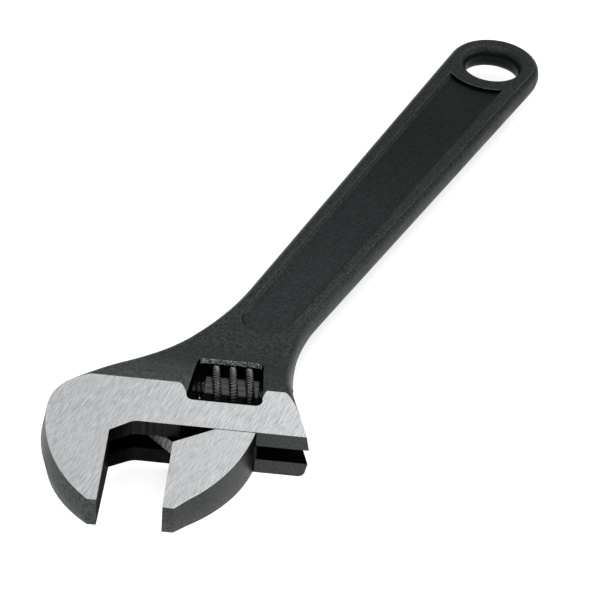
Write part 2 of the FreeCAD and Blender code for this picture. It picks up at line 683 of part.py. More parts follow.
def build_spring():
    """Compression spring round the pin, from the window's side into the worm."""
    body = new_body("worm_spring")
    wire = size("spring_wire") / 2
    wall = window_side("left", WORM_AXIS_Y + size("spring_radius"))
    first = wall + size("spring_end_gap") + wire
    last = size("worm_left") + size("spring_seat_depth") - size("spring_end_gap") - wire
    profile = new_sketch(body, "wire_outline", "XY_Plane")
    draw_circle(profile, V(first - size("worm_left"), size("spring_radius") - wire, 0), "spring_wire / 2")
    coil(body, "AdditiveHelix", "spring", profile, (last - first) / size("spring_turns"), last - first)
    place_on_worm_axis(body, "worm_left")
    return body


# ------------------------------------------------------------------ build and write

pieces = [build_frame(), build_sliding_jaw(), build_worm(), build_pin(), build_spring()]
doc.recompute()
for item in doc.Objects:
    if "Invalid" in item.State or "Error" in item.State:
        raise RuntimeError("%s is in state %s" % (item.Name, item.State))
for piece in pieces:
    if piece.Shape.isNull() or not piece.Shape.isValid() or len(piece.Shape.Solids) != 1:
        raise RuntimeError("%s is not one valid solid" % piece.Label)

os.makedirs("parts", exist_ok=True)
for piece in pieces:
    piece.Shape.exportStep("parts/%s.step" % piece.Label)
    box = piece.Shape.BoundBox
    print("%s: volume %.1f, x %.2f..%.2f, y %.2f..%.2f, z %.2f..%.2f" % (
        piece.Label, piece.Shape.Volume, box.XMin, box.XMax, box.YMin, box.YMax, box.ZMin, box.ZMax))
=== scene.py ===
"""Adjustable wrench: the finish of each piece, the knurled worm, and a plain studio round them."""
import logging
import math
from collections.abc import Callable
from dataclasses import dataclass
from enum import Enum
from typing import ClassVar

import bpy
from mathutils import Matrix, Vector


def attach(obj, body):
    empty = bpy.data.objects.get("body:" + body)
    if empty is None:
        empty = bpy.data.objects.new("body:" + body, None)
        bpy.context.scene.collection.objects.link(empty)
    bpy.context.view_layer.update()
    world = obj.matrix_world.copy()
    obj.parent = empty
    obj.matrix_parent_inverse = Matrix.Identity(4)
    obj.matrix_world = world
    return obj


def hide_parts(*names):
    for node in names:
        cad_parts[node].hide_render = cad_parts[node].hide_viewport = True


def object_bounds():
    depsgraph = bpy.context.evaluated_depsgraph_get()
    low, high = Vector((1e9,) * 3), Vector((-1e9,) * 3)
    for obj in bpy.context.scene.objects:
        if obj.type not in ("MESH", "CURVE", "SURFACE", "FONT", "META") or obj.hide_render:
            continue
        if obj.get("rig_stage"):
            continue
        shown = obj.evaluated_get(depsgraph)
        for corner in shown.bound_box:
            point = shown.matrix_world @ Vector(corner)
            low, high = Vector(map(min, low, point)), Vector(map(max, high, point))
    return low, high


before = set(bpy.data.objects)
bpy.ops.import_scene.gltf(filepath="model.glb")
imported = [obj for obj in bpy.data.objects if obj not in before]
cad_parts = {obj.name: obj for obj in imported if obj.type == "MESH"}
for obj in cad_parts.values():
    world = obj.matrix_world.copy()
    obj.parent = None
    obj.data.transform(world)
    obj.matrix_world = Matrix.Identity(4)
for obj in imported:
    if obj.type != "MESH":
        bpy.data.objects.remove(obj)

logging.basicConfig(level=logging.INFO, format="%(message)s")
log = logging.getLogger("adjustable_wrench")

MM = 0.001
GROUND_EDGE_BEVEL = 0.11 * MM
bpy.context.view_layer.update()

ACROSS = Vector((1.0, 0.0, 0.0))
UP = Vector((0.0, 0.0, 1.0))

Colour = tuple[float, float, float]
FaceTest = Callable[[Vector, Vector], bool]


# ------------------------------------------------------------------ finishes

class Marks(Enum):
    """Which way the fine marks of a finish run: how far they are drawn out, and their turns in degrees."""

    CAST = ((1.0, 1.0, 1.0), (0.0, 0.0, 0.0))
    GROUND = ((1.0, 28.0, 28.0), (0.0, 0.0, -21.0))
    MILLED = ((1.0, 1.0, 40.0), (0.0, 0.0, 0.0))
    SLANTED = ((1.0, 40.0, 40.0), (0.0, 18.0, -42.0))
    TURNED = ((40.0, 1.0, 1.0), (0.0, 0.0, 0.0))


class NodeSheet:
    """The node tree of one material, with short ways to add and join nodes."""

    def __init__(self, name: str) -> None:
        """Starts a material with a shader and its output.

        Args:
            name: Name of the material.
        """
        self.material = bpy.data.materials.new(name)
        self.material.use_nodes = True
        self.tree = self.material.node_tree
        self.shader = self.tree.nodes["Principled BSDF"]

    def add(self, kind: str, **settings: object) -> bpy.types.Node:
        """Adds a node.

        Args:
            kind: Type of the node without its "ShaderNode" prefix.
            **settings: Properties of the node, or values of its inputs by name.

        Returns:
            The new node.
        """
        node = self.tree.nodes.new("ShaderNode" + kind)
        for key, value in settings.items():
            if hasattr(node, key):
                setattr(node, key, value)
            else:
                node.inputs[key.replace("_", " ")].default_value = value
        return node

    def join(self, source: bpy.types.NodeSocket, target: bpy.types.NodeSocket) -> None:
        """Links an output to an input."""
        self.tree.links.new(source, target)

    def spread(self, source: bpy.types.NodeSocket, low: float, high: float,
               reach: float = 0.2) -> bpy.types.NodeSocket:
        """Maps the useful middle of a noise to a range.

        Args:
            source: Noise output, mostly between 0.3 and 0.7.
            low: Value at the dark end.
            high: Value at the bright end.
            reach: How far each end lies from the noise's middle of 0.5: less gives harder spots.

        Returns:
            The mapped output.
        """
        node = self.add("MapRange", From_Min=0.5 - reach, From_Max=0.5 + reach, To_Min=low, To_Max=high)
        self.join(source, node.inputs["Value"])
        return node.outputs["Result"]


@dataclass(frozen=True)
class ShadeSpot:
    """A place round which a finish is painted darker or lighter: painted shade and painted light.

    Attributes:
        centre: The place, in millimetres.
        steps: Distances from it in millimetres, each with the share of the shade that it keeps there.
        weights: How much each axis counts in the distance.
    """

    centre: tuple[float, float, float]
    steps: tuple[tuple[float, float], ...]
    weights: tuple[float, float, float] = (1.0, 1.0, 1.0)

    def apply(self, sheet: NodeSheet, place: bpy.types.Node,
              shade: bpy.types.NodeSocket) -> bpy.types.NodeSocket:
        """Multiplies a shade by the share for the distance from the centre.

        Args:
            sheet: The material being built.
            place: Its coordinate node.
            shade: Shade so far.

        Returns:
            The new shade.
        """
        reach = self.steps[-1][0]
        offset = sheet.add("VectorMath", operation="SUBTRACT")
        sheet.join(place.outputs["Object"], offset.inputs[0])
        offset.inputs[1].default_value = [value * MM for value in self.centre]
        weighed = sheet.add("VectorMath", operation="MULTIPLY")
        sheet.join(offset.outputs["Vector"], weighed.inputs[0])
        weighed.inputs[1].default_value = [weight / (reach * MM) for weight in self.weights]
        away = sheet.add("VectorMath", operation="LENGTH")
        sheet.join(weighed.outputs["Vector"], away.inputs[0])
        ramp = sheet.add("ValToRGB")
        sheet.join(away.outputs["Value"], ramp.inputs["Fac"])
        marks = ramp.color_ramp.elements
        while len(marks) < len(self.steps):
            marks.new(1.0)
        for mark, (distance, share) in zip(marks, self.steps):
            mark.position = distance / reach
            mark.color = (share, share, share, 1.0)
        result = sheet.add("Math", operation="MULTIPLY")
        sheet.join(shade, result.inputs[0])
        sheet.join(ramp.outputs["Color"], result.inputs[1])
        return result.outputs["Value"]


@dataclass(frozen=True)
class SteelFinish:
    """A steel surface with fine marks, which its shade and relief follow, and wider patches."""

    name: str
    colour: Colour
    metallic: float
    roughness: float
    marks: Marks
    grain: float  # width of a mark, in metres
    contrast: float  # how far the marks change the shade
    relief: float  # depth of the marks, in metres
    gloss_change: float = 0.08  # how far the patches change the roughness
    specular: float = 0.5
    patch: float = 9 * MM  # size of a patch
    patch_contrast: float = 0.08  # how far the patches change the shade
    edge_tint: float = 1.0  # share of the gloss kept where the surface turns away
    spread: float = 0.2  # less gives harder marks
    # places round which the finish is painted darker or lighter, as painted shade and light
    spots: tuple[ShadeSpot, ...] = ()

    def material(self) -> bpy.types.Material:
        """Builds the material the first time, and finds it after that.

        Returns:
            The material of this finish.
        """
        known = bpy.data.materials.get(self.name)
        if known:
            return known
        sheet = NodeSheet(self.name)
        stretch, turns = self.marks.value
        place = sheet.add("TexCoord")
        mapping = sheet.add("Mapping", vector_type="TEXTURE", Scale=stretch,
                            Rotation=[math.radians(turn) for turn in turns])
        sheet.join(place.outputs["Object"], mapping.inputs["Vector"])
        fine = sheet.add("TexNoise", Scale=1 / self.grain, Detail=3.0, Roughness=0.6)
        sheet.join(mapping.outputs["Vector"], fine.inputs["Vector"])
        patches = sheet.add("TexNoise", Scale=1 / self.patch, Detail=4.0, Roughness=0.55)
        sheet.join(place.outputs["Object"], patches.inputs["Vector"])

        marks_shade = sheet.spread(fine.outputs["Fac"], 1 - self.contrast, 1 + self.contrast, self.spread)
        patch_shade = sheet.spread(patches.outputs["Fac"], 1 - self.patch_contrast, 1 + self.patch_contrast)
        shade = sheet.add("Math", operation="MULTIPLY")
        sheet.join(marks_shade, shade.inputs[0])
        sheet.join(patch_shade, shade.inputs[1])
        total = shade.outputs["Value"]
        for spot in self.spots:
            total = spot.apply(sheet, place, total)
        colour = sheet.add("VectorMath", operation="SCALE")
        colour.inputs[0].default_value = self.colour
        sheet.join(total, colour.inputs["Scale"])
        sheet.join(colour.outputs["Vector"], sheet.shader.inputs["Base Color"])
        gloss = sheet.spread(patches.outputs["Fac"], self.roughness - self.gloss_change,
                             self.roughness + self.gloss_change)
        sheet.join(gloss, sheet.shader.inputs["Roughness"])
        bump = sheet.add("Bump", Strength=1.0, Distance=self.relief)
        sheet.join(fine.outputs["Fac"], bump.inputs["Height"])
        sheet.join(bump.outputs["Normal"], sheet.shader.inputs["Normal"])
        sheet.shader.inputs["Metallic"].default_value = self.metallic
        sheet.shader.inputs["Specular IOR Level"].default_value = self.specular
        sheet.shader.inputs["Specular Tint"].default_value = (self.edge_tint,) * 3 + (1.0,)
        return sheet.material


# Painted shade: the forging drawn darker towards the handle's far end.
FAR_END_SHADE = ShadeSpot((98.3, 189.2, 3.0),
                    ((0.0, 0.54), (20.0, 0.55), (45.0, 0.58), (110.0, 0.78), (165.0, 0.98), (240.0, 1.0)))
# Painted shade in the hole's wall and a painted highlight on the rounding at its top.
HOLE_SHADE_AND_HIGHLIGHT = ShadeSpot((98.35, 189.2, 0.0),
                      ((0.0, 0.30), (8.9, 0.35), (9.3, 1.2), (10.3, 1.35), (11.7, 1.0), (100.0, 1.0)),
                      (1.0, 1.0, 0.0))
# Painted shadow: the panel's floor drawn darker towards the ring, nearly black at its foot.
PANEL_END_SHADOW = ShadeSpot((98.3, 189.2, 3.0),
                      ((0.0, 0.02), (14.5, 0.04), (16.2, 0.26), (19.5, 0.40), (60.0, 0.46), (150.0, 1.0)))
# Painted highlight: the panel's rim drawn lighter where it rounds over at the ring.
RING_EDGE_HIGHLIGHT = ShadeSpot((98.35, 189.2, 3.0),
                      ((0.0, 0.9), (12.4, 0.9), (13.4, 1.5), (17.0, 1.5), (19.0, 1.0), (60.0, 1.0)))
# Painted light: the neck drawn lighter just behind the ground faces on the fixed jaw's side, a little darker
# beyond.
NECK_PAINTED_LIGHT = ShadeSpot((4.0, 14.0, 0.0),
                         ((0.0, 1.9), (3.0, 1.7), (8.0, 1.10), (14.0, 0.88), (24.0, 0.97), (34.0, 1.0)),
                         (0.25, 1.0, 0.0))
# Painted light: the fixed jaw drawn a little lighter towards its tip.
FIXED_JAW_PAINTED_LIGHT = ShadeSpot((-10.0, -22.0, 0.0), ((0.0, 1.17), (15.0, 1.15), (30.0, 1.0), (60.0, 1.0)),
                     (1.0, 1.0, 0.0))
# Painted shade: the mouth's lower lip drawn darker than its upper one.
LOWER_LIP_SHADE = ShadeSpot((10.0, 0.0, 7.0), ((0.0, 1.15), (5.0, 1.0), (9.0, 0.45), (14.0, 0.40)),
                      (0.0, 0.0, 1.0))
# Painted shade: the jaw's side drawn darker where it meets the slide, and a little lighter far from it.
JAW_ROOT_SHADE = ShadeSpot((38.0, 0.0, 0.0), ((0.0, 0.12), (1.8, 0.30), (5.0, 0.75), (9.0, 0.95), (40.0, 1.15)),
                        (1.0, 1.0, 0.0))
# Painted light from below: the jaw's side drawn lighter towards its lower edge and darker towards its upper
# one.
LOWER_RIM_PAINTED_LIGHT = ShadeSpot((0.0, 0.0, -7.0), ((0.0, 1.9), (2.5, 1.3), (7.0, 0.88), (14.0, 0.80)),
                    (0.0, 0.0, 1.0))
# Painted shadow of the upper lip: the top of the web's slanted end drawn near-black.
WEB_TOP_SHADOW = ShadeSpot((7.5, 6.1, 19.65), ((0.0, 0.02), (19.6, 0.02), (20.3, 1.0), (40.0, 1.0)))

FORGED_BLACK = SteelFinish("blackened_forging", (0.0425, 0.0520, 0.0495), 0.85, 0.44, Marks.CAST, 0.75 * MM,
                           0.60, 0.045 * MM, patch=14 * MM, patch_contrast=0.10,
                           edge_tint=0.7, spots=(FAR_END_SHADE, HOLE_SHADE_AND_HIGHLIGHT, NECK_PAINTED_LIGHT, FIXED_JAW_PAINTED_LIGHT))
# Painted highlight: the rounded rim of the handle's panel drawn lighter than the forging.
RIM_HIGHLIGHT = SteelFinish("painted_rim_highlight", (0.074, 0.084, 0.082), 0.85, 0.38, Marks.CAST, 0.75 * MM,
                          0.40, 0.020 * MM, edge_tint=0.55, spots=(RING_EDGE_HIGHLIGHT,))
PANEL_BLACK = SteelFinish("panel_black", (0.040, 0.0455, 0.046), 0.85, 0.55, Marks.CAST, 0.55 * MM,
                          0.50, 0.045 * MM, patch=20 * MM, patch_contrast=0.07,
                          edge_tint=0.7, spots=(PANEL_END_SHADOW,))
GROUND_STEEL = SteelFinish("ground_face", (0.640, 0.655, 0.668), 1.0, 0.38, Marks.GROUND, 0.11 * MM,
                           0.42, 0.003 * MM, gloss_change=0.04, patch=6 * MM, patch_contrast=0.03)
# The bevels at the ends of the ground faces shine by their shape; their lighter finish adds a painted
# highlight.
BRIGHT_EDGE = SteelFinish("bright_edge", (0.72, 0.73, 0.74), 1.0, 0.35, Marks.CAST, 0.3 * MM,
                          0.06, 0.003 * MM)
MILLED_DARK = SteelFinish("milled_dark", (0.048, 0.052, 0.051), 0.85, 0.45, Marks.CAST, 0.60 * MM,
                          0.45, 0.020 * MM, edge_tint=0.5)
JAW_SIDE = SteelFinish("jaw_side", (0.043, 0.047, 0.045), 0.85, 0.42, Marks.CAST, 0.70 * MM,
                       0.40, 0.030 * MM, patch=7 * MM, patch_contrast=0.14, edge_tint=0.8,
                       spots=(JAW_ROOT_SHADE, LOWER_RIM_PAINTED_LIGHT))
# Painted shade: the mouth's milled faces drawn darker than the milled lips beyond the jaw; the milled marks
# are real.
MOUTH_SHADE = SteelFinish("painted_mouth_shade", (0.0190, 0.0195, 0.0195), 0.95, 0.50, Marks.MILLED, 0.45 * MM,
                          0.60, 0.015 * MM, patch=4 * MM, patch_contrast=0.30, edge_tint=0.15,
                          spots=(LOWER_LIP_SHADE,))
# The slanted stripes are machining marks; the light tone of the web's end is painted light.
WEB_STRIPES = SteelFinish("web_stripes", (0.34, 0.35, 0.34), 0.1, 0.60, Marks.SLANTED, 0.30 * MM,
                          0.95, 0.020 * MM, spread=0.10, spots=(WEB_TOP_SHADOW,))
SHEARED_STEEL = SteelFinish("sheared_steel", (0.34, 0.35, 0.34), 0.3, 0.60, Marks.CAST, 0.40 * MM,
                            0.98, 0.110 * MM, patch=2 * MM, patch_contrast=0.35, spread=0.07)
# Painted shade: near-black for the window's walls, the bore and slot, the slide's front behind the sliding
# jaw, the panel's wall at the ring, the web and rail, and the worm's bore.
PAINTED_SHADE_BLACK = SteelFinish("painted_deep_shade", (0.0020, 0.0020, 0.0021), 0.3, 0.60, Marks.CAST, 0.5 * MM,
                          0.20, 0.004 * MM, specular=0.05, edge_tint=0.1)
WORM_BLACK = SteelFinish("worm_black", (0.065, 0.067, 0.067), 0.9, 0.30, Marks.CAST, 0.4 * MM,
                         0.20, 0.006 * MM)
# The knurled crest is drawn lighter than the worm, partly wear and partly painted highlight; the notches are
# drawn darker as painted shade.
KNURLED = SteelFinish("knurled_crest", (0.27, 0.272, 0.272), 0.9, 0.42, Marks.CAST, 0.35 * MM,
                      0.35, 0.008 * MM)
NOTCH_SHADE = SteelFinish("painted_notch_shade", (0.012, 0.012, 0.012), 0.9, 0.45, Marks.CAST, 0.35 * MM,
                          0.35, 0.008 * MM)
PIN_STEEL = SteelFinish("turned_pin", (0.045, 0.046, 0.047), 1.0, 0.40, Marks.TURNED, 0.2 * MM,
                        0.15, 0.003 * MM, edge_tint=0.3)
SPRING_STEEL = SteelFinish("drawn_wire", (0.022, 0.022, 0.023), 1.0, 0.45, Marks.CAST, 0.2 * MM,
                           0.10, 0.002 * MM, edge_tint=0.2)


# ------------------------------------------------------------------ the bench

class Bench:
    """Selecting and editing as at a bench: one piece at a time, picked by place."""

    @staticmethod
    def clear() -> None:
        """Deselects every object."""
        bpy.ops.object.select_all(action="DESELECT")

    @staticmethod
    def take(piece: bpy.types.Object) -> None:
        """Makes one object the selected and active one.

        Args:
            piece: The object to take.
        """
        Bench.clear()
        piece.select_set(True)
        bpy.context.view_layer.objects.active = piece

    @staticmethod
    def open(piece: bpy.types.Object, kind: str = "FACE", everything: bool = False) -> None:
        """Takes a piece into edit mode.

        Args:
            piece: The object to edit.
            kind: What is selected: VERT, EDGE or FACE.
            everything: Selects the whole mesh if true, else keeps what was picked.
        """
        Bench.take(piece)
        bpy.ops.object.mode_set(mode="EDIT")
        bpy.ops.mesh.select_mode(type=kind)
        if everything:
            bpy.ops.mesh.select_all(action="SELECT")

    @staticmethod
    def close() -> None:
        """Goes back to object mode."""
        bpy.ops.object.mode_set(mode="OBJECT")

    @staticmethod
    def drop_picks(mesh: bpy.types.Mesh) -> None:
        """Clears the picks of a mesh in object mode."""
        for group in (mesh.vertices, mesh.edges, mesh.polygons):
            group.foreach_set("select", [False] * len(group))

    @staticmethod
    def pick_faces(piece: bpy.types.Object, test: FaceTest) -> None:
        """Picks the faces that pass a test on their middle (in millimetres) and normal.

        Args:
            piece: The object whose faces are picked.
            test: Function of the face's middle and normal.
        """
        Bench.drop_picks(piece.data)
        for face in piece.data.polygons:
            if test(face.center / MM, face.normal):
                face.select = True

    @staticmethod
    def pick_edges(piece: bpy.types.Object,
                   test: Callable[[Vector, list[bpy.types.MeshPolygon]], bool]) -> int:
        """Picks the edges that pass a test on their middle (in millimetres) and their two faces.

        Args:
            piece: The object whose edges are picked.
            test: Function of the edge's middle and its faces.

        Returns:
            How many edges were picked.
        """
        mesh = piece.data
        beside: dict[tuple[int, int], list[bpy.types.MeshPolygon]] = {}
        for face in mesh.polygons:
            for key in face.edge_keys:
                beside.setdefault(key, []).append(face)
        Bench.drop_picks(mesh)
        count = 0
        for edge in mesh.edges:
            faces = beside.get(edge.key, [])
            ends = [mesh.vertices[number].co for number in edge.vertices]
            if len(faces) == 2 and test((ends[0] + ends[1]) / (2 * MM), faces):
                edge.select = True
                for number in edge.vertices:
                    mesh.vertices[number].select = True
                count += 1
        return count


def corner_angle(faces: list[bpy.types.MeshPolygon]) -> float:
    """Angle in degrees between the normals of an edge's two faces."""
    return math.degrees(faces[0].normal.angle(faces[1].normal, 0.0))


@dataclass
class WrenchPiece:
    """A piece of the wrench that stands for one node of the frame."""

    node: str
    body: str
    slot: str
    merge_gap: ClassVar[float] = 0.001 * MM  # points closer than this are one
    flat_angle: ClassVar[float] = 0.05  # faces that turn by less are merged
    smooth_angle: ClassVar[float] = 32.0  # edges that turn by less look round

    def copy_node(self) -> bpy.types.Object:
        """Copies the node's mesh, joins its loose triangles and merges those that lie in one plane.

        Returns:
            The new object, in the same place.
        """
        Bench.take(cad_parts[self.node])
        bpy.ops.object.duplicate()
        piece = bpy.context.object
        piece.parent = None
        for key in list(piece.keys()):
            if key.startswith("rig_"):
                del piece[key]
        piece.name = self.node + "_finished"
        piece.data.name = piece.name
        Bench.open(piece, everything=True)
        bpy.ops.mesh.remove_doubles(threshold=self.merge_gap)
        bpy.ops.mesh.dissolve_limited(angle_limit=math.radians(self.flat_angle))
        bpy.ops.mesh.select_all(action="DESELECT")
        Bench.close()
        return piece

    def dress(self, piece: bpy.types.Object, rest: SteelFinish,
              regions: list[tuple[SteelFinish, FaceTest]]) -> None:
        """Gives each face the finish of the first region that it passes.

        Args:
            piece: The object to dress.
            rest: Finish of every face that no region takes.
            regions: Finishes with their tests on a face's middle (in millimetres) and normal.
        """
        finishes = [rest] + [finish for finish, _ in regions]
        names = list(dict.fromkeys(finish.name for finish in finishes))
        piece.data.materials.clear()
        for name in names:
            finish = next(item for item in finishes if item.name == name)
            piece.data.materials.append(finish.material())
        for face in piece.data.polygons:
            middle = face.center / MM
            chosen = next((finish for finish, test in regions if test(middle, face.normal)), rest)
            face.material_index = names.index(chosen.name)

    def bevel_picked(self, piece: bpy.types.Object, width: float, segments: int = 2,
                     finish: SteelFinish | None = None) -> None:
        """Bevels the picked edges.

        Args:
            piece: The object whose edges are picked.
            width: Width of the bevel in metres.
            segments: Steps across the bevel.
            finish: Finish of the new faces, or None to take their neighbours'.
        """
        number = -1
        if finish:
            number = piece.data.materials.find(finish.name)
            if number < 0:
                piece.data.materials.append(finish.material())
                number = len(piece.data.materials) - 1
        Bench.open(piece, "EDGE")
        bpy.ops.mesh.bevel(offset=width, offset_type="OFFSET", segments=segments, affect="EDGES",
                           clamp_overlap=True, material=number)
        bpy.ops.mesh.select_all(action="DESELECT")
        Bench.close()

    def score(self, piece: bpy.types.Object, test: FaceTest, place: float, way: Vector) -> None:
        """Divides the faces that pass a test along a plane.

        Args:
            piece: The object whose faces are divided.
            test: Function of a face's middle (in millimetres) and normal.
            place: Distance of the plane from the origin, in millimetres.
            way: Direction across the plane.
        """
        Bench.pick_faces(piece, test)
        Bench.open(piece)
        bpy.ops.mesh.bisect(plane_co=way * (place * MM), plane_no=way)
        Bench.close()

    def break_ground_edges(self, piece: bpy.types.Object) -> None:
        """Breaks the edges where the ground faces end, so that they shine, and gives the bevels a lighter
        finish as a painted highlight.

        Args:
            piece: The object, already dressed.
        """
        ground_number = piece.data.materials.find(GROUND_STEEL.name)

        def ends_ground(_: Vector, faces: list[bpy.types.MeshPolygon]) -> bool:
            """Whether just one of an edge's faces is ground."""
            return [face.material_index for face in faces].count(ground_number) == 1
        Bench.pick_edges(piece, ends_ground)
        self.bevel_picked(piece, GROUND_EDGE_BEVEL, 2, BRIGHT_EDGE)

    def hand_over(self, piece: bpy.types.Object) -> None:
        """Clears slivers, smooths by the size of faces, so flats stay flat, and takes the node's place.

        Args:
            piece: The finished object.
        """
        Bench.open(piece, everything=True)
        bpy.ops.mesh.remove_doubles(threshold=self.merge_gap)
        bpy.ops.mesh.dissolve_degenerate(threshold=self.merge_gap)
        bpy.ops.mesh.select_all(action="DESELECT")
        Bench.close()
        bpy.ops.object.shade_smooth_by_angle(angle=math.radians(self.smooth_angle))
        weighing = piece.modifiers.new("weighing", "WEIGHTED_NORMAL")
        weighing.mode = "FACE_AREA"
        weighing.keep_sharp = True
        bpy.ops.object.modifier_apply(modifier=weighing.name)
        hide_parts(self.node)
        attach(piece, self.body)
        log.info("%s: %d faces, %d finishes", piece.name, len(piece.data.polygons),
                 len(piece.data.materials))


@dataclass
class GroundHead:
    """The two ground faces of the head, which both the frame and the sliding jaw lie between."""

    half_thickness: float = 7.0
    slope: float = math.tan(math.radians(5.43))  # rise towards the handle
    edge: float = 14.8  # where the faces end behind
    reach: float = 0.03  # how near to the plane a face counts

    def holds(self, middle: Vector, normal: Vector) -> bool:
        """Whether a face lies in one of the ground planes.

        Args:
            middle: Middle of the face, in millimetres.
            normal: Its normal.

        Returns:
            True if it does.
        """
        height = self.half_thickness + self.slope * middle.y
        near = abs(abs(middle.z) - height) < self.reach
        return near and middle.y < self.edge + self.reach and abs(normal.z) > 0.98


@dataclass
class HandleFrame(WrenchPiece):
    """Forged head and handle: black all over, ground bright on the two faces of the head.

    Sizes are in millimetres: x runs along the slide, y towards the handle and z up.
    """

    node: str = "handle_frame"
    body: str = "frame"
    slot: str = "forged_black"
    window_x: tuple[float, float] = (17.8, 38.3)
    window_y: tuple[float, float] = (9.0, 29.3)
    window_inset: float = 1.0  # unworked ends of the window's back edge
    shear_height: float = 3.35  # where the torn band of the back wall begins
    shear_depth: float = 0.6  # how far in front of the wall the band counts
    back_chamfer: float = 0.25
    lip_corner: float = 1.3  # size of the rounding at the slide's open end
    bearing_x: tuple[float, float] = (17.85, 37.5)  # where the sliding jaw bears on the slide
    neck_y: tuple[float, float] = (14.9, 45.0)
    # places at which the neck's large faces are divided, for an even shade
    seams: tuple[float, ...] = (-6.0, -2.0, 2.0, 6.0, 9.0, 12.0, 13.5, 15.0, 16.5, 39.0, 40.2, 41.4, 43.0)
    recess_edge: float = 0.5  # rounding at the top of the panel
    rail_axis: float = 12.1  # place of the rail's bore
    bore_radius: float = 5.35
    slot_half: float = 2.38
    slot_x: tuple[float, float] = (-9.0, 5.0)  # outer end of the slot, and where its end wall stops
    throat_end: float = 9.0  # between the fixed jaw and the slide
    end_face_x: float = 45.0
    end_face_back: float = 14.0
    panel_level: float = 3.0  # height of the sunk panel's floor
    panel_start: float = 40.0
    rim_z: tuple[float, float] = (3.7, 4.05)  # between these heights lies the panel's rim
    ring_wall: tuple[float, float] = (14.0, 17.0)  # how far from the hole the panel's end lies
    ring_share: float = 0.65  # the end reaches this far round the ring, as a cosine
    wall_top: float = 3.95
    hole: tuple[float, float] = (98.35, 189.2)
    to_head: tuple[float, float] = (-math.sin(math.radians(24.0)), -math.cos(math.radians(24.0)))

    def in_window(self, middle: Vector, normal: Vector) -> bool:
        """Whether a face is a wall of the window or of a hole that opens into it.

        Args:
            middle: Middle of the face, in millimetres.
            normal: Its normal.

        Returns:
            True if it is.
        """
        across = self.window_x[0] < middle.x < self.window_x[1]
        along = self.window_y[0] < middle.y < self.window_y[1]
        return across and along and abs(normal.z) < 0.3

    def at_back_edge(self, middle: Vector) -> bool:
        """Whether a place is between the window's sides and as high as the torn band."""
        across = self.window_x[0] + self.window_inset < middle.x < self.window_x[1] - self.window_inset
        return across and abs(middle.z) > self.shear_height

    def sheared(self, middle: Vector, normal: Vector) -> bool:
        """Whether a face is the torn band under the window's back edge.

        Args:
            middle: Middle of the face, in millimetres.
            normal: Its normal.

        Returns:
            True if it is.
        """
        near = self.window_y[1] - self.shear_depth < middle.y < self.window_y[1] + self.back_chamfer
        return near and self.at_back_edge(middle) and normal.y < -0.2

    def in_bore(self, middle: Vector, normal: Vector) -> bool:
        """Whether a face is in the rail's bore or in the slot that opens it.

        Args:
            middle: Middle of the face, in millimetres.
            normal: Its normal.

        Returns:
            True if it is.
        """
        inside_bore = math.hypot(middle.y - self.rail_axis, middle.z) < self.bore_radius + 0.1
        inside_slot = abs(middle.z) < self.slot_half + 0.05 and -1.0 < middle.y < self.rail_axis
        along = abs(normal.x) < 0.5 or (normal.x > 0.5 and middle.x < self.slot_x[1])
        return (inside_bore or inside_slot) and middle.x > self.slot_x[0] and along

    def on_neck(self, middle: Vector, _: Vector) -> bool:
        """Whether a face is on the neck."""
        return self.neck_y[0] < middle.y < self.neck_y[1]

    def on_front(self, middle: Vector, normal: Vector) -> bool:
        """Whether a face is on the front of the slide's lips."""
        return abs(middle.y) < 0.05 and normal.y < -0.9

    def mouth(self, middle: Vector, normal: Vector) -> bool:
        """Whether a face was milled: the gripping face, the throat and the front of the lips.

        Args:
            middle: Middle of the face, in millimetres.
            normal: Its normal.

        Returns:
            True if it was.
        """
        front = self.on_front(middle, normal)
        grip = abs(middle.x) < 0.05 and normal.x > 0.9
        throat = middle.y < 0.02 and -0.05 < middle.x < self.throat_end and abs(normal.z) < 0.1
        return front or grip or throat

    def bearing(self, middle: Vector, normal: Vector) -> bool:
        """Whether a face is the part of the slide's front that the sliding jaw bears on."""
        return self.on_front(middle, normal) and self.bearing_x[0] < middle.x < self.bearing_x[1]

    def panel(self, middle: Vector, normal: Vector) -> bool:
        """Whether a face is the floor of the handle's sunk panel."""
        return abs(abs(middle.z) - self.panel_level) < 0.02 and abs(normal.z) > 0.99

    def panel_end(self, middle: Vector, normal: Vector) -> bool:
        """Whether a face is the sunk panel's wall at the ring.

        Args:
            middle: Middle of the face, in millimetres.
            normal: Its normal.

        Returns:
            True if it is.
        """
        aside = Vector((middle.x - self.hole[0], middle.y - self.hole[1]))
        near = self.ring_wall[0] < aside.length < self.ring_wall[1]
        on_side = aside.dot(Vector(self.to_head)) > self.ring_share * aside.length
        between = self.panel_level - 0.02 < abs(middle.z) < self.wall_top
        return near and on_side and between and abs(normal.z) < 0.93

    def chamfer_window(self, piece: bpy.types.Object) -> None:
        """Breaks away the upper and lower edges of the window's back wall.

        Args:
            piece: The frame, before it is dressed.
        """
        def at_back(middle: Vector, faces: list[bpy.types.MeshPolygon]) -> bool:
            """Whether an edge is where the back wall meets the forging's skin.

            Args:
                middle: Middle of the edge, in millimetres.
                faces: Its two faces.

            Returns:
                True if it is.
            """
            walls = [face for face in faces if face.normal.y < -0.99 and abs(face.normal.z) < 0.05]
            near = self.window_y[1] - self.shear_depth < middle.y < self.window_y[1]
            return len(walls) == 1 and near and self.at_back_edge(middle)
        count = Bench.pick_edges(piece, at_back)
        log.info("window: %d back edges chamfered", count)
        self.bevel_picked(piece, self.back_chamfer * MM, 2)

